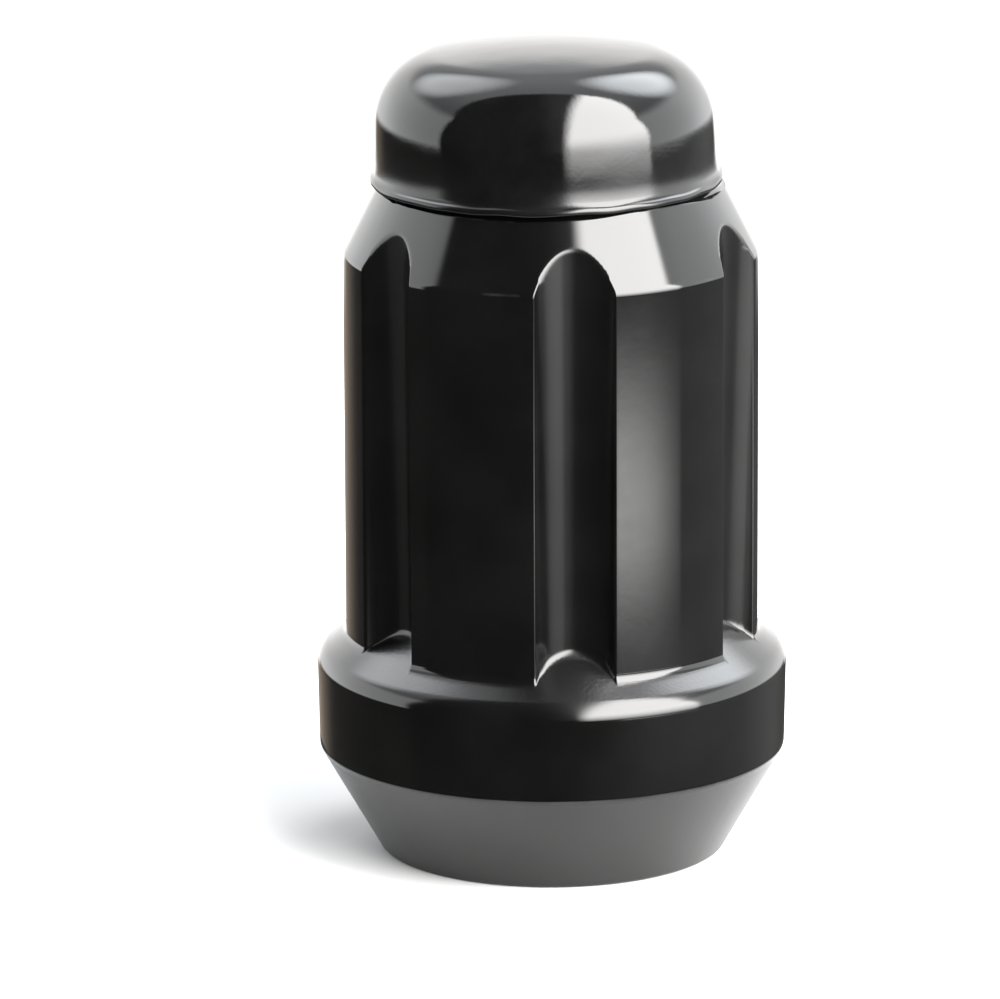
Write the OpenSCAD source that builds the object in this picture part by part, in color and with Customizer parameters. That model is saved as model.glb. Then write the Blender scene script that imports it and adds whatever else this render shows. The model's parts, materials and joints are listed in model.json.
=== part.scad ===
// Closed-end lug nut: a fluted and tapped steel body with a cone seat, closed by a welded domed cap.
// Sizes are in millimetres. The origin is the centre of the open end's face, and +Z runs up the axis.

/* [Thread] */
// Nominal diameter of the internal thread
thread_d = 12; // [8:0.5:14.5]
// Pitch of the internal thread
thread_pitch = 1.5; // [1:0.25:2]
// How far the mouth's lead-in chamfer reaches past the thread, on the radius
mouth_relief = 0.6; // [0.2:0.1:0.8]
// How far the chamfer at the thread's inner end reaches past the bore, on the radius
inner_relief = 0.5; // [0.2:0.1:0.8]

/* [Seat and collar] */
// Height of the cone seat
seat_h = 5.1; // [4:0.1:6.2]
// Included angle of the cone seat
seat_angle = 60; // [45:1:62]
// How far the collar stands out past the drive's lands, on the radius
collar_step = 1.4; // [0.8:0.1:3]
// Height of the collar, from the seat to where the shoulder's slope meets it
collar_h = 4.55; // [3:0.05:8]
// Draft of the collar's side, which narrows it towards the seat
collar_draft = 1.2; // [0:0.2:3]
// Slope of the shoulder below the horizontal
shoulder_angle = 36; // [25:1:50]
// Radius of the collar's upper rim
rim_r = 1.1; // [0.4:0.1:2]
// Radius of the edge between the collar and the seat
collar_edge_r = 0.4; // [0.1:0.1:0.8]
// Radius of the edge around the open end
tip_edge_r = 0.3; // [0.1:0.1:0.5]

/* [Drive] */
// Diameter over the drive's lands
drive_d = 20; // [19:0.1:26]
// Length of the lands, from the shoulder to the top chamfer
land_h = 18.9; // [12:0.1:30]
// Number of flutes around the drive
flute_count = 6; // [4:1:7]
// Depth of a flute below the lands
flute_depth = 1.2; // [0.7:0.05:1.5]
// Width of a flute, between the places where its rounded edges leave the lands
flute_w = 4.1; // [3.3:0.1:5.2]
// Radius of a flute's rounded edges
flute_edge_r = 0.25; // [0.1:0.05:1]
// Height of the top chamfer
chamfer_h = 3.25; // [2.5:0.05:4]
// Half angle of the top chamfer's cone
chamfer_angle = 26.8; // [20:0.2:28]
// Radius of the edge between the lands and the top chamfer
land_edge_r = 0.5; // [0.1:0.1:1]

/* [Cap] */
// Height of the cap, from the flange's underside to the crown
cap_h = 6.75; // [5.6:0.05:10]
// Thickness of the cap's wall
cap_t = 1; // [0.7:0.1:1.4]
// How far the flange overhangs the body's top face, on the radius
flange_overhang = 0.15; // [0:0.05:0.3]
// How far the flange stands out past the cap's wall
flange_w = 0.3; // [0.2:0.05:0.5]
// Radius of the flange's rounded lip
lip_r = 0.3; // [0.2:0.05:0.5]
// Lean of the flange's upper side where the lip runs into the flare
lip_angle = 40; // [30:1:60]
// Radius of the dome's corner
dome_r = 3.8; // [2.5:0.1:4.2]
// Radius of the crown's curve
crown_r = 34; // [15:1:60]
// Gap of the open seam between the body's top face and the flange
seam_gap = 0.15; // [0.05:0.05:0.3]
// Width of the weld ring under the cap's wall
weld_w = 0.7; // [0.4:0.1:0.9]

/* [Hidden] */
$fn = 96;

// Straight pieces in each rounded corner of an outline
corner_steps = 8;
// Straight pieces in each curve of the dome's outline
dome_steps = 16;
// Extra length of a cut past the face that it leaves
cut_past = 1;
// Height at which a flute's edge arc starts above the land, so that it crosses the land at a clear angle
edge_lift = 0.02;
// Radius of the edge around the body's top face
top_edge_r = 0.08;
// Depth of an internal thread as a share of its pitch, for 60 degree flanks
thread_share = 0.54127;

// Thread and mouth
thread_r = thread_d / 2;
bore_r = thread_r - thread_share * thread_pitch;
mouth_r = thread_r + mouth_relief;

// Radii of the body
land_r = drive_d / 2;
root_r = land_r - flute_depth;
collar_r = land_r + collar_step;
seat_r = collar_r - collar_h * tan(collar_draft);
tip_r = seat_r - seat_h * tan(seat_angle / 2);
top_r = land_r - chamfer_h * tan(chamfer_angle);
core_r = (bore_r + root_r) / 2;

// Heights of the body
rim_z = seat_h + collar_h;
land_foot_z = rim_z + collar_step * tan(shoulder_angle);
core_z = rim_z + (collar_r - core_r) * tan(shoulder_angle);
land_top_z = land_foot_z + land_h;
body_top_z = land_top_z + chamfer_h;

// Section of a flute: two edge arcs that run into one groove arc
flute_half = asin(flute_w / 2 / land_r);
edge_c = land_r - flute_edge_r + edge_lift;
edge_x = edge_c * cos(flute_half);
edge_y = edge_c * sin(flute_half);
edge_rise = edge_x - root_r;
groove_r = (edge_rise ^ 2 + edge_y ^ 2 - flute_edge_r ^ 2) / (2 * (flute_edge_r + edge_rise));
groove_x = root_r + groove_r;
blend_angle = atan2(edge_y, groove_x - edge_x);

// Cap: one sheet thickness between two outlines that share their centres
cap_z = body_top_z + seam_gap;
flange_r = top_r + flange_overhang;
wall_r = flange_r - flange_w;
flare_r = flange_w / (1 - cos(lip_angle)) - lip_r;
flare_z = lip_r + (lip_r + flare_r) * sin(lip_angle);
weld_mid_r = wall_r - cap_t / 2;
crown_z = cap_h - crown_r;
dome_x = wall_r - dome_r;
dome_z = crown_z + sqrt((crown_r - dome_r) ^ 2 - dome_x ^ 2);
dome_angle = atan2(dome_z - crown_z, dome_x);

function unit(v) = v / norm(v);

// Points along an arc from one angle to another
function arc(centre, r, from, to, steps) =
    [for (i = [0:steps]) let (a = from + (to - from) * i / steps) centre + r * [cos(a), sin(a)]];

// One corner of an outline, with the corner before and the corner after it; the third number is its radius
function round_corner(before, corner, after) =
    let (
        p = [corner[0], corner[1]],
        u = unit([before[0], before[1]] - p),
        v = unit([after[0], after[1]] - p),
        half = acos(u * v) / 2,
        centre = p + unit(u + v) * corner[2] / sin(half),
        start = p + u * corner[2] / tan(half) - centre,
        end = p + v * corner[2] / tan(half) - centre,
        from = atan2(start[1], start[0]),
        turn = atan2(end[1], end[0]) - from,
        sweep = turn > 180 ? turn - 360 : turn < -180 ? turn + 360 : turn
    )
    corner[2] == 0 ? [p] : arc(centre, corner[2], from, from + sweep, corner_steps);

// A closed outline of rounded corners
function rounded(corners) =
    let (n = len(corners))
    [for (i = [0:n - 1]) each round_corner(corners[(i + n - 1) % n], corners[i], corners[(i + 1) % n])];

// Cone seat, collar and shoulder, with the shoulder's slope carried on inside the drive
module seat_and_collar() {
    rotate_extrude()
        polygon(rounded([
            [0, 0, 0],
            [tip_r, 0, tip_edge_r],
            [seat_r, seat_h, collar_edge_r],
            [collar_r, rim_z, rim_r],
            [core_r, core_z, 0],
            [0, core_z, 0]
        ]));
}

// One flute as a bar along the drive
module flute() {
    far_r = land_r + 2 * cut_past;
    translate([0, 0, seat_h - cut_past])
        linear_extrude(body_top_z - seat_h + 2 * cut_past)
            polygon(concat(
                [far_r * [cos(flute_half), sin(flute_half)]],
                arc([edge_x, edge_y], flute_edge_r, flute_half, -blend_angle, corner_steps),
                arc([groove_x, 0], groove_r, 180 - blend_angle, 180 + blend_angle, 2 * corner_steps),
                arc([edge_x, -edge_y], flute_edge_r, blend_angle, -flute_half, corner_steps),
                [far_r * [cos(flute_half), -sin(flute_half)]]
            ));
}

// Chamfered drive section with its flutes, the first of them facing -Y
module drive() {
    difference() {
        rotate_extrude()
            polygon(rounded([
                [0, seat_h, 0],
                [land_r, seat_h, 0],
                [land_r, land_top_z, land_edge_r],
                [top_r, body_top_z, top_edge_r],
                [0, body_top_z, 0]
            ]));
        for (i = [0:flute_count - 1])
            rotate([0, 0, i * 360 / flute_count - 90])
                flute();
    }
}

// Low ring on the top face, under the middle of the cap's wall
module weld_ring() {
    difference() {
        cylinder(h = cap_z, r = weld_mid_r + weld_w / 2);
        translate([0, 0, -cut_past])
            cylinder(h = cap_z + 2 * cut_past, r = weld_mid_r - weld_w / 2);
    }
}

// Bore at the thread's inner diameter, with a 45 degree chamfer at each end
module bore() {
    inner_r = bore_r + inner_relief;
    translate([0, 0, -cut_past])
        cylinder(h = body_top_z + 2 * cut_past, r = bore_r);
    translate([0, 0, -cut_past])
        cylinder(h = mouth_r + cut_past, r1 = mouth_r + cut_past, r2 = 0);
    translate([0, 0, body_top_z - inner_r])
        cylinder(h = inner_r + cut_past, r1 = 0, r2 = inner_r + cut_past);
}

module nut_body() {
    color([0.09, 0.09, 0.1])
        difference() {
            union() {
                seat_and_collar();
                drive();
                weld_ring();
            }
            bore();
        }
}

module dome_cap() {
    inner_r = wall_r - cap_t;
    color([0.14, 0.14, 0.15])
        translate([0, 0, cap_z])
            rotate_extrude()
                polygon(concat(
                    [[inner_r, 0]],
                    arc([flange_r - lip_r, lip_r], lip_r, -90, lip_angle, corner_steps),
                    arc([wall_r + flare_r, flare_z], flare_r, 180 + lip_angle, 180, corner_steps),
                    arc([dome_x, dome_z], dome_r, 0, dome_angle, dome_steps),
                    arc([0, crown_z], crown_r, dome_angle, 90, dome_steps),
                    arc([0, crown_z], crown_r - cap_t, 90, dome_angle, dome_steps),
                    arc([dome_x, dome_z], dome_r - cap_t, dome_angle, 0, dome_steps)
                ));
}

nut_body();
dome_cap();
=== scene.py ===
# Looks of the closed-end lug nut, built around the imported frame.
# Sizes are in millimetres and angles in degrees until a mesh is made, which is in metres.
import json
import math

import bmesh
import bpy
import numpy as np
from mathutils import Matrix, Quaternion, Vector


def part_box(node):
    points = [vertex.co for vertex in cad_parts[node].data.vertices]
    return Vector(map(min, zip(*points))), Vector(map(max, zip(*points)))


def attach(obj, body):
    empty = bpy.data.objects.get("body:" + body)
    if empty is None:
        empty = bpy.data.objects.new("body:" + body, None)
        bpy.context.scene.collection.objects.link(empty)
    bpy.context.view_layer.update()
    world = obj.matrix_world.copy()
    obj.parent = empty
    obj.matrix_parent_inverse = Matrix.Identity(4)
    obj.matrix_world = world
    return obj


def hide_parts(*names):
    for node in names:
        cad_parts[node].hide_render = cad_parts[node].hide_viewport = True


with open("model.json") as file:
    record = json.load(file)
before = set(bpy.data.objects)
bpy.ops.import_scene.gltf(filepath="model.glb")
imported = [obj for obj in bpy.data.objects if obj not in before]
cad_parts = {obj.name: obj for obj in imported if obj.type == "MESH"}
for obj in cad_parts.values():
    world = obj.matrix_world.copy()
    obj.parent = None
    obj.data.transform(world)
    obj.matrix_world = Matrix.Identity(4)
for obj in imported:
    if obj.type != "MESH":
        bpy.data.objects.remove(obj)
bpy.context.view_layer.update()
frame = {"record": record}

MM = 0.001
TURN = 2 * math.pi

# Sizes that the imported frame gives
bore_r = next(m["dims"]["r_mm"] for m in frame["record"]["mounts"] if m["name"] == "stud_thread")
widest_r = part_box("nut_body")[1].x / MM
flange_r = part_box("dome_cap")[1].x / MM
cap_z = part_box("dome_cap")[0].z / MM
apex_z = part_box("dome_cap")[1].z / MM

# Seat and collar
seat_h = 5.1
seat_slope = 30
collar_h = 4.55
collar_step = 1.4
collar_draft = 1.2
shoulder_slope = 36
rim_r = 1.1
collar_edge_r = 0.4
tip_edge_r = 0.3

# Drive, with its satin weights on the chamfer and in the flutes
flute_count = 6
first_flute = -90
flute_depth = 1.05
flute_taper = 1.25
flute_w = 4.1
flute_edge_r = 0.18
edge_lift = 0.02
chamfer_slope = 26.8
chamfer_h = 3.25
land_round = 0.07
land_edge_w = 0.1
arch_round = 0.07
foot_round = 0.32
chamfer_satin = 0.25
flute_satin = 0.9

# Weld ring, and the chamfer's upper edge, which the welding left uneven
seam_gap = 0.15
weld_w = 0.7
weld_rise = 0.08
top_edge_r = 0.08
weld_wave = 0.04
burr_depth = 0.08
burr_floor = 0.3
seam_swell = 0.3
swell_turn = -59
swell_power = 16

# Thread, with 60 degree flanks, a crest of a quarter pitch and a root of an eighth
thread_pitch = 1.5
thread_r = bore_r + 0.54127 * thread_pitch
half_crest_share = 0.125
flank_share = 0.3125
mouth_chamfer = 0.6
inner_chamfer = 0.5
mouth_r = thread_r + mouth_chamfer
inner_r = bore_r + inner_chamfer

# Cap
cap_t = 1
flange_w = 0.3
lip_r = 0.3
lip_h = 0.1
lip_edge_r = 0.05
lip_lean = 45
lip_lift = 0.1
lip_wave_z = 0.06
lip_wave_r = 0.03
skirt_r = 4.5
skirt_lean = 8
bow_r = 24
bow_lean = 3.5
dome_r = 3.5
crown_r = 34
dull_h = 1.1
cap_runout = 0.2
cap_lean = 0.5
cap_skew = 1.3

# Columns of the body's mesh across half a flute, as angles from its middle, and their counts
wall_end = 10
edge_end = 12.1
flute_reach = 13
wall_columns = 11
edge_columns = 15
land_columns = 15

# Rows of the body's mesh, fine at the shoulder and at the chamfer and wide apart along the lands
mouth_margin = 0.35
tip_margin = 0.8
shoulder_start = 0.08
shoulder_past = 0.5
shoulder_step = 0.07
lands_start = 0.6
lands_stop = 0.5
lands_rows = 22
chamfer_start = 0.4
chamfer_stop = 0.75
chamfer_step = 0.06
top_margin = 0.4
flat_tolerance = 1e-7

# Heights and radii that follow
rim_turn = math.radians(90 + collar_draft - shoulder_slope)
collar_r = widest_r + rim_r * math.tan(rim_turn / 2) * math.sin(math.radians(collar_draft))
seat_r = collar_r - collar_h * math.tan(math.radians(collar_draft))
tip_r = seat_r - seat_h * math.tan(math.radians(seat_slope))
land_r = collar_r - collar_step
rim_z = seat_h + collar_h
body_top_z = cap_z - seam_gap
chamfer_foot_z = body_top_z - chamfer_h
chamfer_run = math.tan(math.radians(chamfer_slope))
shoulder_rise = math.tan(math.radians(shoulder_slope))
land_foot_z = rim_z + collar_step * shoulder_rise
flute_fall = math.tan(math.radians(flute_taper))
foot_depth = flute_depth + (chamfer_foot_z - land_foot_z) * flute_fall
flute_foot_z = land_foot_z + foot_depth * shoulder_rise
top_r = land_r - chamfer_h * chamfer_run
wall_r = flange_r - flange_w
weld_mid_r = wall_r - cap_t / 2

# Coats, as gray levels, roughness and depths of bump
coat_ior = 1.5
body_grays = (0.0013, 0.0024)
body_gloss = (0.045, 0.06)
body_satin_gain = 0.16
seat_fade = (-0.25, 0.1)
seat_gray = 0.01
seat_shares = (0.75, 1)
seat_gain = 0.24
worn_gray = 0.02
worn_share = 0.5
worn_gain = 0.06
peel_depth = 0.0002
grain_depth = 0.006
grain_least = 0.015
cap_grays = (0.0016, 0.0028)
cap_gloss = (0.055, 0.075)
cap_satin_gain = 0.14
cap_grain_depth = 0.0016
cap_dent_depth = 0.012

# Steel of the thread
steel_grays = (0.05, 0.155)
steel_tint = 0.03
steel_gloss = (0.28, 0.45)
steel_metallic = 0.8
score_depth = 0.004

# Floor, which turns gray far out on the panel's side, and the floor that only reflections show, with painted
# shade further out
floor_half = 2000
floor_gray = 0.55
floor_roughness = 0.9
far_gray = 0.1
far_reach = (35, 120)
far_side = (-0.1, 0.5)
near_floor_r = 23
near_floor_z = 0.02
near_floor_gray = 0.5
# painted shade: the reflected floor turns dark further out, though the real floor stays pale
near_floor_painted_shade = 0.03
near_floor_shade_reach = (17, 23)

# Camera, as the photograph's edges give it
view_azimuth = -6.2
view_elevation = 14.57
view_roll = -0.23
view_distance = 450
view_target_z = 17
view_right = -2.494
view_up = 0.1
lens_mm = 334.5
clip_start = 10

# Directions of the studio, seen from the camera's side
to_right = Vector((math.cos(math.radians(view_azimuth)), math.sin(math.radians(view_azimuth)), 0))
to_top = Vector((0, 0, 1))
to_front = to_right.cross(to_top)


# Outlines and mesh sheets

def nearness(a, b, width):
    """1 where two radii meet, falling to 0 where they are a width apart."""
    return np.maximum(width - np.abs(a - b), 0) / width


def excess(a, b, width):
    """0 where one radius is well under another and 1 where it is well over it, with a slope of that width."""
    return np.clip((a - b) / width + 0.5, 0, 1)


def smooth_min(a, b, width):
    """The lower of two radii, with the edge where they meet rounded over that width."""
    return np.minimum(a, b) - nearness(a, b, width) ** 2 * width / 4


def arc(centre, radius, start, end, steps):
    """Points along an arc, from one angle to another."""
    angles = np.radians(np.linspace(start, end, steps + 1))
    return [(centre[0] + radius * math.cos(a), centre[1] + radius * math.sin(a)) for a in angles]


def round_corner(before, corner, after, radius, steps=6):
    """Points along the arc that rounds one corner of an outline."""
    p = Vector(corner)
    u = (Vector(before) - p).normalized()
    v = (Vector(after) - p).normalized()
    half = u.angle(v) / 2
    centre = p + (u + v).normalized() * radius / math.sin(half)
    first = p + u * radius / math.tan(half) - centre
    last = p + v * radius / math.tan(half) - centre
    start = math.degrees(math.atan2(first.y, first.x))
    sweep = (math.degrees(math.atan2(last.y, last.x)) - start + 180) % 360 - 180
    return arc(centre, radius, start, start + sweep, steps)


def run(a, b, margin=0.06, most=0.25, pieces=4):
    """Points between two ends of a straight stretch, with one close to each end to hold the shading."""
    share = min(most, margin / math.dist(a, b))
    shares = [share, *np.linspace(share, 1 - share, pieces + 1)[1:-1], 1 - share]
    return [(a[0] + (b[0] - a[0]) * s, a[1] + (b[1] - a[1]) * s) for s in shares]


def joined(stretches):
    """One outline from a list of arcs, with straight runs between them."""
    points = list(stretches[0])
    for stretch in stretches[1:]:
        points += run(points[-1], stretch[0])
        points += stretch
    return points


def ripple(angles, seed, lowest, highest, weakest=0.4, fall=0.5):
    """A smooth wave around the axis, between -1 and 1, from waves of those counts per turn."""
    rng = np.random.default_rng(seed)
    total = np.zeros_like(angles)
    for count in range(lowest, highest + 1):
        strength = rng.uniform(weakest, 1)
        start = rng.uniform(0, TURN)
        total += strength * np.sin(count * angles + start) / count ** fall
    return total / np.abs(total).max()


class Rows:
    """Rows of a sheet around the axis, each with a value for every column.

    A row has a radius, a height, an edge weight and a satin weight.
    """

    def __init__(self, angles):
        self.angles = angles
        self.rows = []

    def add(self, radius, height, edge=0.0, satin=0.0):
        values = (radius, height, edge, satin)
        self.rows.append([np.broadcast_to(value, self.angles.shape) for value in values])

    def build(self, bm):
        """Adds the sheet to a mesh, with its weights as attributes, and returns its points row by row."""
        radii, heights, edges, satins = np.array(self.rows).swapaxes(0, 1)
        points = to_xyz(radii, heights, self.angles)
        columns = len(self.angles)
        verts = [bm.verts.new(p) for p in points.reshape(-1, 3)]
        for name, weights in (("edge", edges), ("satin", satins)):
            layer = bm.verts.layers.float.get(name)
            for vert, weight in zip(verts, weights.ravel()):
                vert[layer] = weight
        for low in range(0, len(verts) - columns, columns):
            high = low + columns
            for i in range(columns):
                after = (i + 1) % columns
                bm.faces.new((verts[low + i], verts[low + after], verts[high + after], verts[high + i]))
        return verts


def new_mesh():
    """An empty mesh with the weights that the materials read."""
    bm = bmesh.new()
    for name in ("edge", "satin"):
        bm.verts.layers.float.new(name)
    return bm


def to_xyz(radii, heights, angles):
    """Points in metres from radii, heights and angles around the axis."""
    return np.stack([radii * np.cos(angles), radii * np.sin(angles), heights], axis=-1) * MM


def metres(sizes):
    """Sizes in metres, as the nodes read them."""
    return [size * MM for size in sizes]


def finish_mesh(bm, name, materials):
    """Makes an object of a mesh, in place in the row frame."""
    for face in bm.faces:
        face.smooth = True
    mesh = bpy.data.meshes.new(name)
    bm.to_mesh(mesh)
    bm.free()
    for material in materials:
        mesh.materials.append(material)
    piece = bpy.data.objects.new(name, mesh)
    bpy.context.scene.collection.objects.link(piece)
    return piece


# Nut body

def flute_section(angles, depth):
    """Radius of the fluted section at each angle from the middle of a flute, for one depth of flute."""
    root_r = land_r - depth
    half = math.asin(flute_w / 2 / land_r)
    edge_c = land_r - flute_edge_r + edge_lift
    edge_x = edge_c * math.cos(half)
    edge_y = edge_c * math.sin(half)
    rise = edge_x - root_r
    groove_r = (rise ** 2 + edge_y ** 2 - flute_edge_r ** 2) / (2 * (flute_edge_r + rise))
    groove_x = root_r + groove_r
    share = flute_edge_r / (flute_edge_r + groove_r)
    join = math.atan2(edge_y * (1 - share), edge_x + (groove_x - edge_x) * share)
    a = np.abs(angles)
    groove = groove_x * np.cos(a) - np.sqrt(np.maximum(groove_r ** 2 - (groove_x * np.sin(a)) ** 2, 0))
    off = a - half
    edge = edge_c * np.cos(off) + np.sqrt(np.maximum(flute_edge_r ** 2 - (edge_c * np.sin(off)) ** 2, 0))
    return np.where(a < join, groove, np.where(a < half, np.minimum(edge, land_r), land_r))


def body_columns():
    """Angles of the columns around the body, and their angles from the middle of the nearest flute."""
    sector = 360 / flute_count
    wall = np.linspace(0, wall_end, wall_columns)
    edge = np.linspace(wall_end, edge_end, edge_columns)[1:]
    half = np.concatenate([wall[1:], edge, [flute_reach]])
    flute = np.concatenate([-half[::-1], [0], half])
    land = np.linspace(flute_reach, sector - flute_reach, land_columns)[1:-1]
    local = np.concatenate([flute, land])
    around = np.concatenate([local + sector * k for k in range(flute_count)]) + first_flute
    from_flute = np.tile(np.where(local > sector / 2, local - sector, local), flute_count)
    return np.radians(around), np.radians(from_flute)


def add_foot(rows):
    """The open end's face, the cone seat and the collar.

    Returns the height where the shoulder's slope starts.
    """
    collar_foot = (seat_r, seat_h)
    rim_corner = (collar_r, rim_z)
    tip = round_corner((0, 0), (tip_r, 0), collar_foot, tip_edge_r)
    edge = round_corner((tip_r, 0), collar_foot, rim_corner, collar_edge_r)
    rim = round_corner(collar_foot, rim_corner, (land_r, land_foot_z), rim_r, steps=12)
    rounded = tip[1:-1] + edge[1:-1]
    face = [(mouth_r + mouth_margin, 0)]
    for r, z in face + joined([[(tip_r - tip_margin, 0)], tip, edge, rim]):
        rows.add(r, z, float((r, z) in rounded), np.interp(z, (rim[0][1], rim[-1][1]), (0, 1)))
    return rim[-1][1]


def add_drive(rows, from_flute, start_z):
    """The shoulder, the fluted lands and the chamfer. Returns the height where the flutes have run out."""
    heights = np.concatenate([
        np.arange(start_z + shoulder_start, flute_foot_z + shoulder_past, shoulder_step),
        np.linspace(flute_foot_z + lands_start, chamfer_foot_z - lands_stop, lands_rows),
        np.arange(chamfer_foot_z - chamfer_start, body_top_z - chamfer_stop, chamfer_step),
    ])
    for z in heights:
        section = flute_section(from_flute, flute_depth + (chamfer_foot_z - z) * flute_fall)
        on_land = np.interp(section, (land_r - land_edge_w, land_r), (0, 1))
        edge_width = arch_round + (land_round - arch_round) * on_land
        chamfer = top_r + (body_top_z - z) * chamfer_run
        shoulder = collar_r - (z - rim_z) / shoulder_rise
        drive = smooth_min(section, chamfer, edge_width)
        on_chamfer = excess(section, chamfer, edge_width)
        in_flute = np.clip((land_r - section) / flute_edge_r, 0, 1) * (1 - on_chamfer)
        on_shoulder = excess(shoulder, drive, foot_round)
        satin = np.maximum.reduce([on_shoulder, chamfer_satin * on_chamfer, flute_satin * in_flute])
        edge = nearness(section, chamfer, edge_width)
        rows.add(-smooth_min(-drive, -shoulder, foot_round), z, edge, satin)
    return heights[-1]


def add_top(rows, start_z):
    """The chamfer's end, its edge left uneven by the welding, and the top face with the weld ring."""
    end = (top_r + (body_top_z - start_z) * chamfer_run, start_z)
    corner = round_corner(end, (top_r, body_top_z), (0, body_top_z), top_edge_r)
    burr = np.maximum(ripple(rows.angles, seed=5, lowest=6, highest=46) - burr_floor, 0)
    wave = ripple(rows.angles, seed=3, lowest=2, highest=20)
    uneven = weld_wave + weld_wave * wave + burr_depth * burr
    swell_side = np.maximum(np.cos(rows.angles - math.radians(swell_turn)), 0)
    uneven -= seam_swell * swell_side ** swell_power
    for r, z in run(end, corner[0]) + corner:
        share = ((z - start_z) / (body_top_z - start_z)) ** 2
        edge = float((r, z) in corner)
        rows.add(r + uneven * share * chamfer_run, z - uneven * share, edge, chamfer_satin)
    for r, z in (
        (weld_mid_r + weld_w / 2, body_top_z),
        (weld_mid_r + weld_w / 2, cap_z + weld_rise),
        (weld_mid_r - weld_w / 2, cap_z + weld_rise),
        (weld_mid_r - weld_w / 2, body_top_z),
        (inner_r + top_margin, body_top_z),
    ):
        rows.add(r, z)


def add_thread(bm):
    """Adds the wall of the tapped bore, cut to the body's height.

    It has a right-hand thread and a chamfer at each end.
    """
    segments = 72
    steps = 12
    spare_turns = 2
    turns_below = 1.5
    count = segments * (math.ceil(body_top_z / thread_pitch) + spare_turns)
    phase = np.linspace(0, 1, steps, endpoint=False)
    from_crest = 0.5 - np.abs(phase - 0.5)
    flank = np.clip((from_crest - half_crest_share) / flank_share, 0, 1)
    turn = np.arange(count) / segments
    heights = (turn[:, None] + phase - turns_below) * thread_pitch
    radii = np.maximum(bore_r + (thread_r - bore_r) * flank, mouth_r - heights)
    radii = np.maximum(radii, inner_r - (body_top_z - heights))
    verts = [bm.verts.new(p) for p in to_xyz(radii, heights, turn[:, None] * TURN).reshape(-1, 3)]
    for k in range(count - segments - 1):
        for m in range(steps):
            low = k * steps + m
            high = low + 1 if m < steps - 1 else (k + segments) * steps
            bm.faces.new((verts[low], verts[high], verts[high + steps], verts[low + steps]))
    for height, side in ((0, -1), (body_top_z, 1)):
        everything = bm.verts[:] + bm.edges[:] + bm.faces[:]
        plane = {"plane_co": (0, 0, height * MM), "plane_no": (0, 0, side)}
        bmesh.ops.bisect_plane(bm, geom=everything, clear_outer=True, **plane)


def close_ring(bm, height, side):
    """Fills the flat ring between the bore and the outer sheet at one end."""
    ends = []
    for edge in bm.edges:
        if edge.is_boundary and all(abs(v.co.z - height * MM) < flat_tolerance for v in edge.verts):
            ends.append(edge)
    bmesh.ops.triangle_fill(bm, use_beauty=True, edges=ends, normal=(0, 0, side))
    for edge in ends:
        edge.smooth = False


def make_body(materials):
    """The body as one closed mesh, with the thread in the second material."""
    bm = new_mesh()
    add_thread(bm)
    for face in bm.faces:
        face.material_index = 1
    around, from_flute = body_columns()
    rows = Rows(around)
    slope_z = add_foot(rows)
    run_out_z = add_drive(rows, from_flute, slope_z)
    add_top(rows, run_out_z)
    rows.build(bm)
    close_ring(bm, 0, -1)
    close_ring(bm, body_top_z, 1)
    return finish_mesh(bm, "nut_body_visual", materials)


# Cap

def cap_outlines():
    """Outlines of the cap's outside and of its hollow.

    The first runs from the inner edge of the underside to the crown, and the second back down.
    """
    lip, skirt, bow = (math.radians(lean) for lean in (lip_lean, skirt_lean, bow_lean))
    lip_in = lip_r * (1 - math.cos(lip))
    skirt_in = skirt_r * (1 - math.cos(skirt))
    flare_r = (flange_w - lip_in - skirt_in) / (math.cos(skirt) - math.cos(lip))
    lip_c = Vector((flange_r - lip_r, cap_z + lip_h))
    flare_c = lip_c + (lip_r + flare_r) * Vector((math.cos(lip), math.sin(lip)))
    skirt_c = flare_c + (skirt_r - flare_r) * Vector((math.cos(skirt), math.sin(skirt)))
    crown_z = apex_z - crown_r
    dome_x = wall_r - bow_r * (1 - math.cos(bow)) - dome_r * math.cos(bow)
    dome_z = crown_z + math.sqrt((crown_r - dome_r) ** 2 - dome_x ** 2)
    dome_end = math.degrees(math.atan2(dome_z - crown_z, dome_x))
    bow_c = (wall_r - bow_r, dome_z + (dome_r - bow_r) * math.sin(bow))
    pole = 89.2
    under = (wall_r - cap_t, cap_z)
    lip_edge = round_corner(under, (flange_r, cap_z), (flange_r, cap_z + lip_h), lip_edge_r, steps=4)
    lip_arc = arc(lip_c, lip_r, 0, lip_lean, steps=10)
    flare_arc = arc(flare_c, flare_r, 180 + lip_lean, 180 + skirt_lean, steps=8)
    skirt_arc = arc(skirt_c, skirt_r, 180 + skirt_lean, 180, steps=6)
    bow_arc = arc(bow_c, bow_r, 0, bow_lean, steps=8)
    dome_arc = arc((dome_x, dome_z), dome_r, bow_lean, dome_end, steps=24)
    crown_arc = arc((0, crown_z), crown_r, dome_end, pole, steps=14)
    outside = joined([
        [under],
        lip_edge + lip_arc + flare_arc[1:] + skirt_arc[1:],
        bow_arc + dome_arc[1:] + crown_arc[1:],
    ])
    ceiling = arc((0, crown_z), crown_r - cap_t, pole, dome_end, steps=10)
    hollow = ceiling + arc((dome_x, dome_z), dome_r - cap_t, dome_end, 0, steps=10)[1:]
    return outside, hollow


def close_pole(bm, ring, height, upward):
    """Closes the small hole at the axis with a fan."""
    pole = bm.verts.new((0, 0, height * MM))
    for first, second in zip(ring, ring[1:] + ring[:1]):
        bm.faces.new((first, second, pole) if upward else (second, first, pole))


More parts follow.
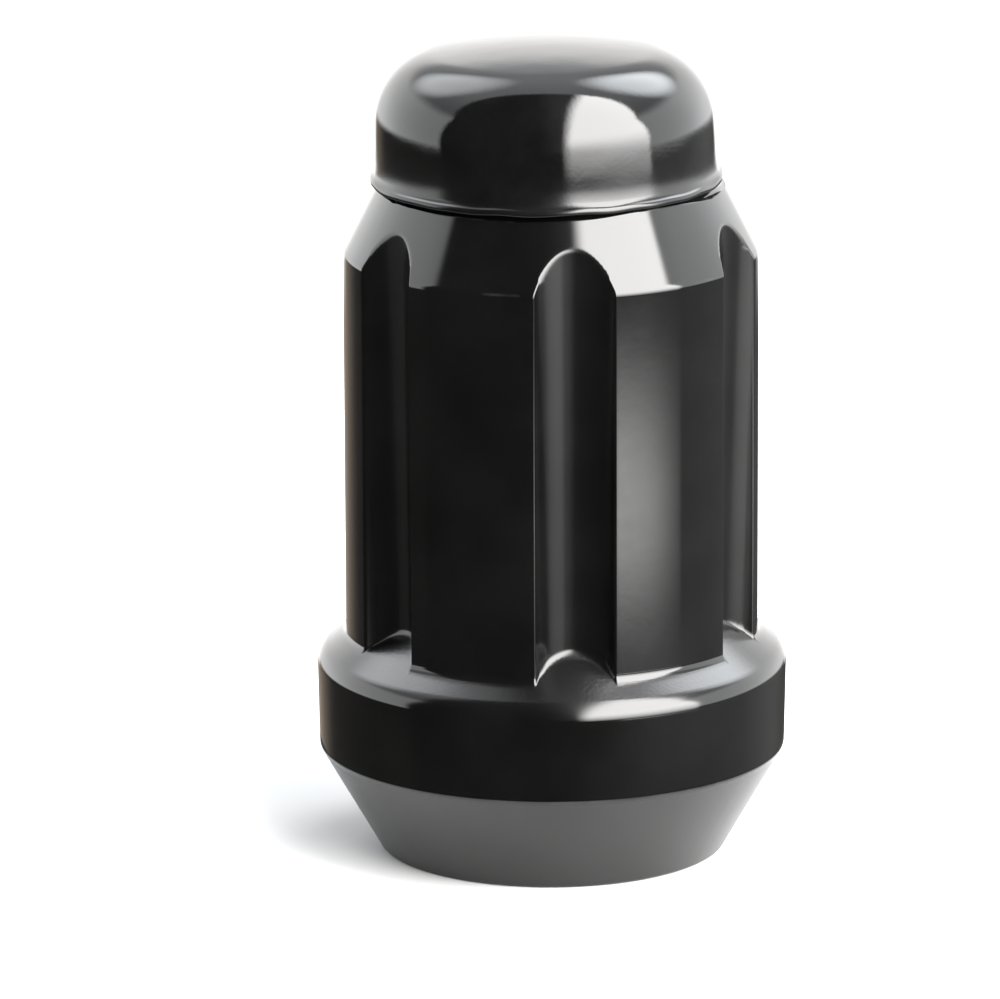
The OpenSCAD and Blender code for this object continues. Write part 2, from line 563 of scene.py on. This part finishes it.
def make_cap(material):
    """The hollow cap, with an uneven flange edge, sitting a little off the axis as it was welded."""
    segments = 192
    angles = np.linspace(0, TURN, segments, endpoint=False)
    uneven_z = lip_lift + lip_wave_z * ripple(angles, seed=11, lowest=2, highest=24)
    uneven_r = lip_wave_r * ripple(angles, seed=12, lowest=2, highest=16)
    outside, hollow = cap_outlines()
    bm = new_mesh()
    shell = Rows(angles)
    for r, z in outside:
        outward = min(max((r - wall_r) / flange_w, 0), 1)
        satin = np.interp(z, (cap_z + dull_h, cap_z + 2 * dull_h), (1, 0))
        edge = float(r > flange_r - lip_edge_r)
        shell.add(r + outward * uneven_r, z + outward * uneven_z, edge, satin)
    inside = Rows(angles)
    for r, z in hollow:
        inside.add(r, z)
    shell_verts = shell.build(bm)
    inside_verts = inside.build(bm)
    close_pole(bm, shell_verts[-segments:], apex_z, True)
    close_pole(bm, inside_verts[:segments], apex_z - cap_t, False)
    inside_foot = inside_verts[-segments:]
    for i in range(segments):
        after = (i + 1) % segments
        wall = (inside_foot[i], inside_foot[after], shell_verts[after], shell_verts[i])
        bm.faces.new(wall)
        bm.edges.get(wall[2:]).smooth = False
    piece = finish_mesh(bm, "dome_cap_visual", [material])
    pivot = Matrix.Translation((0, 0, cap_z * MM))
    lean = Matrix.Rotation(math.radians(cap_lean), 4, to_front)
    aside = Matrix.Translation(-to_right * cap_runout * MM)
    skew = Matrix.Identity(4)
    for axis in (0, 1):
        skew[axis][2] = -to_right[axis] * math.tan(math.radians(cap_skew))
    piece.data.transform(aside @ pivot @ lean @ skew @ pivot.inverted())
    return piece


# Materials

class Net:
    """Adds nodes to a tree, so that a material reads as a list of formulas."""

    def __init__(self, owner):
        owner.use_nodes = True
        self.tree = owner.node_tree
        self.tree.nodes.clear()

    def plug(self, value, socket):
        if isinstance(value, bpy.types.NodeSocket):
            self.tree.links.new(value, socket)
        else:
            socket.default_value = value

    def add(self, kind, inputs, **settings):
        node = self.tree.nodes.new(kind)
        for name, value in settings.items():
            setattr(node, name, value)
        for name, value in inputs.items():
            self.plug(value, node.inputs[name])
        return node

    def place(self):
        """The point in the row frame, in metres."""
        return self.add("ShaderNodeTexCoord", {}).outputs["Object"]

    def height(self, point):
        """The height of a point."""
        return self.add("ShaderNodeSeparateXYZ", {"Vector": point}).outputs["Z"]

    def weight(self, name):
        """A weight that the mesh carries."""
        return self.add("ShaderNodeAttribute", {}, attribute_name=name).outputs["Fac"]

    def math(self, operation, *values):
        return self.add("ShaderNodeMath", dict(enumerate(values)), operation=operation).outputs[0]

    def vector_math(self, operation, output, *vectors):
        node = self.add("ShaderNodeVectorMath", dict(enumerate(vectors)), operation=operation)
        return node.outputs[output]

    def product(self, first, *others):
        for other in others:
            first = self.math("MULTIPLY", first, other)
        return first

    def ramp(self, value, low, high, first=0.0, last=1.0):
        """A smooth step of a value, from the first number at low to the last at high."""
        inputs = {"Value": value, "From Min": low, "From Max": high, "To Min": first, "To Max": last}
        return self.add("ShaderNodeMapRange", inputs, interpolation_type="SMOOTHSTEP").outputs["Result"]

    def below(self, value, low, high):
        """1 where a value is below an edge and 0 where it is above, with a smooth step between."""
        return self.ramp(value, low, high, 1, 0)

    def mix(self, factor, a, b):
        return self.add("ShaderNodeMix", {0: factor, 6: a, 7: b}, data_type="RGBA").outputs[2]

    def noise(self, point, size_mm, detail=2.0, roughness=0.5):
        inputs = {"Vector": point, "Scale": 1 / (size_mm * MM), "Detail": detail, "Roughness": roughness}
        return self.add("ShaderNodeTexNoise", inputs).outputs[0]

    def bump(self, height, depth_mm, normal=None):
        inputs = {"Height": height, "Distance": depth_mm * MM}
        if normal is not None:
            inputs["Normal"] = normal
        return self.add("ShaderNodeBump", inputs).outputs["Normal"]

    def principled(self, **inputs):
        """The surface shader and the material's output. Names use _ for a space."""
        named = {name.replace("_", " "): value for name, value in inputs.items()}
        shader = self.add("ShaderNodeBsdfPrincipled", named)
        self.add("ShaderNodeOutputMaterial", {"Surface": shader.outputs[0]})


def gray(level):
    return (level, level, level, 1)


def warm(level, tint=0.0):
    """A light's colour, warmer for a positive tint and cooler for a negative one."""
    return (level * (1 + tint), level, level * (1 - tint), 1)


def body_coat():
    """Gloss black coat on forged steel, satin and grainy where it was turned, and dull on the seat."""
    material = bpy.data.materials.new("body_coat")
    net = Net(material)
    point = net.place()
    satin = net.weight("satin")
    cloud = net.noise(point, size_mm=4, detail=4)
    smudge = net.noise(point, size_mm=1.6, detail=5, roughness=0.6)
    grain = net.noise(point, size_mm=0.17, detail=3, roughness=0.6)
    seat = net.below(net.height(point), *metres(seat_h + fade for fade in seat_fade))
    worn = net.product(net.ramp(net.weight("edge"), 0.35, 0.95), net.ramp(smudge, 0.45, 0.7))
    coat = net.mix(net.ramp(cloud, 0.3, 0.7), *map(gray, body_grays))
    coat = net.mix(net.product(seat, net.ramp(cloud, 0.3, 0.7, *seat_shares)), coat, gray(seat_gray))
    dull = net.ramp(smudge, 0.35, 0.8, *body_gloss)
    dull = net.math("MULTIPLY_ADD", satin, body_satin_gain, dull)
    dull = net.math("MULTIPLY_ADD", seat, seat_gain, dull)
    peel = net.bump(net.noise(point, size_mm=0.5, detail=2), peel_depth)
    turned = net.product(grain, net.ramp(satin, flute_satin, 1, grain_least, 1))
    net.principled(
        Base_Color=net.mix(net.product(worn, worn_share), coat, gray(worn_gray)),
        Roughness=net.math("MULTIPLY_ADD", worn, worn_gain, dull),
        IOR=coat_ior,
        Normal=net.bump(turned, grain_depth, peel),
    )
    return material


def cap_coat():
    """Gloss black coat on pressed steel, with faint smudges and dents, duller down at the weld."""
    material = bpy.data.materials.new("cap_coat")
    net = Net(material)
    point = net.place()
    satin = net.weight("satin")
    smudge = net.noise(point, size_mm=1.8, detail=5, roughness=0.6)
    grain = net.noise(point, size_mm=0.2, detail=2)
    dents = net.bump(net.noise(point, size_mm=2.2, detail=1), cap_dent_depth)
    dull = net.ramp(smudge, 0.35, 0.8, *cap_gloss)
    net.principled(
        Base_Color=net.mix(net.ramp(smudge, 0.3, 0.7), *map(gray, cap_grays)),
        Roughness=net.math("MULTIPLY_ADD", satin, cap_satin_gain, dull),
        IOR=coat_ior,
        Normal=net.bump(grain, cap_grain_depth, dents),
    )
    return material


def thread_steel():
    """Dark oiled steel of the tapped bore, stained unevenly."""
    material = bpy.data.materials.new("thread_steel")
    net = Net(material)
    point = net.place()
    stain = net.noise(point, size_mm=1.2, detail=4, roughness=0.6)
    score = net.noise(point, size_mm=0.1, detail=2)
    dark, light = steel_grays
    net.principled(
        Base_Color=net.mix(net.ramp(stain, 0.3, 0.7), warm(dark), warm(light, steel_tint)),
        Roughness=net.ramp(score, 0.3, 0.7, *steel_gloss),
        Metallic=steel_metallic,
        Normal=net.bump(score, score_depth),
    )
    return material


# Studio

class Tent:
    """The bright tent around the nut, as light by direction.

    Each ramp's edges are shares of the way right, to the front or up, between which one light fades
    to another.
    """

    def __init__(self, net):
        self.net = net
        self.way = net.add("ShaderNodeTexCoord", {}).outputs["Generated"]
        self.right = self.along(to_right)
        self.front = self.along(to_front)
        self.up = self.along(to_top)

    def along(self, axis):
        return self.net.vector_math("DOT_PRODUCT", "Value", self.way, axis)

    def walls(self):
        """The back and side walls, the ceiling and two lamps under it."""
        net = self.net
        aside = net.math("ABSOLUTE", self.right)
        aside_edge = (0.3, 0.85)
        back = net.mix(net.ramp(self.up, -0.1, 0.1), warm(1.8, 0.02), warm(2.2, 0.01))
        sides = net.mix(net.ramp(self.right, -0.5, 0.5), warm(3.0, -0.01), warm(3.5, -0.01))
        light = net.mix(net.ramp(aside, *aside_edge), back, sides)
        ceiling = net.mix(net.ramp(self.up, 0.6, 0.95), warm(1.15, -0.02), warm(1.9, -0.02))
        side_rise = 0.12
        wall_top = net.math("SUBTRACT", self.up, net.ramp(aside, *aside_edge, 0, side_rise))
        light = net.mix(net.ramp(wall_top, 0.33, 0.49), light, ceiling)
        lamp_back = 0.48
        lamp_up = 0.745
        for lamp_right, level in ((-0.45, 5.6), (0.48, 9.6)):
            axis = (to_right * lamp_right - to_front * lamp_back + to_top * lamp_up).normalized()
            light = net.mix(net.ramp(self.along(axis), 0.92, 0.99), light, warm(level, -0.03))
        return light

    def bench(self):
        """The dark bench below, lighter on the right and warmer behind on the left."""
        net = self.net
        right_side = net.mix(net.ramp(self.front, -0.2, 0.5), warm(0.42), warm(0.8))
        right_side = net.mix(net.ramp(self.up, -0.32, -0.29), warm(0.3), right_side)
        right_side = net.mix(net.ramp(self.up, -0.272, -0.262), right_side, warm(0.45))
        light = net.mix(net.ramp(self.right, 0.25, 0.85), warm(0.1, 0.05), right_side)
        back_left = net.product(net.below(self.front, -0.98, -0.68), net.below(self.right, -0.2, 0.2))
        return net.mix(back_left, light, warm(0.42, 0.2))

    def add_bench(self, light):
        """Puts the bench under the walls, with a bright strip at its far edge."""
        net = self.net
        right_rise = 0.045
        horizon = net.math("SUBTRACT", self.up, net.ramp(self.right, 0.3, 0.9, 0, right_rise))
        light = net.mix(net.below(horizon, -0.19, -0.11), light, self.bench())
        strip = net.product(net.below(self.front, -0.96, -0.9), net.ramp(self.up, -0.235, -0.215))
        return net.mix(strip, light, warm(2.3, 0.01))

    def add_front(self, light):
        """Opens the dark front, and hangs a strong soft panel to its right, with a glow along its foot."""
        net = self.net
        lean_from = 0.5
        lean = 0.6
        overhang = net.math("MAXIMUM", net.math("SUBTRACT", self.up, lean_from), 0)
        ahead = net.math("MULTIPLY_ADD", overhang, lean, self.front)
        panel_left = net.ramp(self.right, 0.18, 0.32)
        opening = net.product(net.ramp(ahead, 0.22, 0.3), net.math("SUBTRACT", 1, panel_left))
        spill = net.product(net.ramp(self.right, -0.1, 0.3), net.ramp(self.up, -0.15, 0.0))
        light = net.mix(opening, light, net.mix(spill, warm(0.07), warm(0.45)))
        panel = net.product(
            panel_left,
            net.ramp(ahead, 0.22, 0.29),
            net.ramp(self.up, -0.36, 0.32),
            net.ramp(self.up, -0.21, -0.188),
        )
        light = net.mix(panel, light, warm(20, 0.01))
        glow = net.product(
            net.ramp(self.right, 0.5, 0.6),
            net.ramp(self.front, 0.2, 0.26),
            net.ramp(self.front, 0.1, 0.8),
            net.ramp(self.up, -0.2695, -0.2515),
            net.below(self.up, -0.2535, -0.231),
        )
        return net.mix(glow, light, warm(8.6, 0.01))

    def add_sheet(self, light):
        """Lays a pale sheet straight below."""
        net = self.net
        sheet = net.mix(net.ramp(self.right, -0.6, 0), warm(1.1), warm(1.95))
        return net.mix(net.below(self.up, -0.65, -0.45), light, sheet)


def studio_light():
    """Lights the scene by the tent."""
    world = bpy.data.worlds.new("studio")
    bpy.context.scene.world = world
    net = Net(world)
    tent = Tent(net)
    light = tent.add_sheet(tent.add_front(tent.add_bench(tent.walls())))
    shader = net.add("ShaderNodeBackground", {"Color": light})
    net.add("ShaderNodeOutputWorld", {"Surface": shader.outputs[0]})


def make_plane(name, corners, material):
    """A flat piece of the studio."""
    mesh = bpy.data.meshes.new(name)
    mesh.from_pydata([corner * MM for corner in corners], [], [range(len(corners))])
    mesh.materials.append(material)
    plane = bpy.data.objects.new(name, mesh)
    bpy.context.scene.collection.objects.link(plane)
    return plane


def square(middle, half):
    """Corners of a level square."""
    signs = ((-1, -1), (1, -1), (1, 1), (-1, 1))
    return [middle + to_right * half * a - to_front * half * b for a, b in signs]


def disc(middle, radius, count=64):
    """Corners of a level disc."""
    turns = np.linspace(0, TURN, count, endpoint=False)
    return [middle + (to_right * math.cos(a) - to_front * math.sin(a)) * radius for a in turns]


def make_floor():
    """A pale matt floor under the nut, kept out of the nut's reflections.

    It turns gray far out on the panel's side, so that the panel's glare on the nut stands out from it
    when seen from behind.
    """
    material = bpy.data.materials.new("floor_paper")
    net = Net(material)
    point = net.add("ShaderNodeNewGeometry", {}).outputs["Position"]
    reach = net.vector_math("LENGTH", "Value", point)
    way = net.vector_math("NORMALIZE", "Vector", point)
    toward = net.vector_math("DOT_PRODUCT", "Value", way, (to_right + to_front).normalized())
    far_out = net.product(net.ramp(reach, *metres(far_reach)), net.ramp(toward, *far_side))
    tone = net.mix(far_out, gray(floor_gray), gray(far_gray))
    net.principled(Base_Color=tone, Roughness=floor_roughness, Specular_IOR_Level=0.0)
    floor = make_plane("floor", square(Vector(), floor_half), material)
    floor.visible_glossy = False


def make_near_floor():
    """The floor close around the nut as its reflections show it: pale at the seat, with painted shade further
    out.
    """
    material = bpy.data.materials.new("near_floor")
    net = Net(material)
    point = net.add("ShaderNodeNewGeometry", {}).outputs["Position"]
    reach = net.vector_math("LENGTH", "Value", point)
    # painted shade: darkens the floor seen in reflections past this reach, where the real floor is pale
    shade = net.ramp(reach, *metres(near_floor_shade_reach))
    tone = net.mix(shade, gray(near_floor_gray), gray(near_floor_painted_shade))
    net.principled(Base_Color=tone, Roughness=floor_roughness, Specular_IOR_Level=0.0)
    plane = make_plane("near_floor", disc(to_top * near_floor_z, near_floor_r), material)
    plane.visible_camera = False
    plane.visible_diffuse = False
    plane.visible_shadow = False


def make_camera():
    """The photograph's camera: a long lens a little above the nut, with the nut right of the middle."""
    data = bpy.data.cameras.new("camera")
    data.lens = lens_mm
    data.clip_start = clip_start * MM
    camera = bpy.data.objects.new("camera", data)
    bpy.context.scene.collection.objects.link(camera)
    e = math.radians(view_elevation)
    back = to_front * math.cos(e) + to_top * math.sin(e)
    level = (-back).to_track_quat("-Z", "Y")
    turn = level @ Quaternion((0, 0, 1), math.radians(view_roll))
    shift = turn @ Vector((view_right, view_up, 0))
    camera.rotation_mode = "QUATERNION"
    camera.rotation_quaternion = turn
    camera.location = (to_top * view_target_z + back * view_distance + shift) * MM
    bpy.context.scene.camera = camera


# Put the nut together
body = make_body([body_coat(), thread_steel()])
cap = make_cap(cap_coat())
for piece, node, slot in ((body, "nut_body", "body_black"), (cap, "dome_cap", "cap_black")):
    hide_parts(node)
    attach(piece, "root")

studio_light()
make_floor()
make_near_floor()
make_camera()
bpy.context.scene.view_settings.view_transform = "Standard"
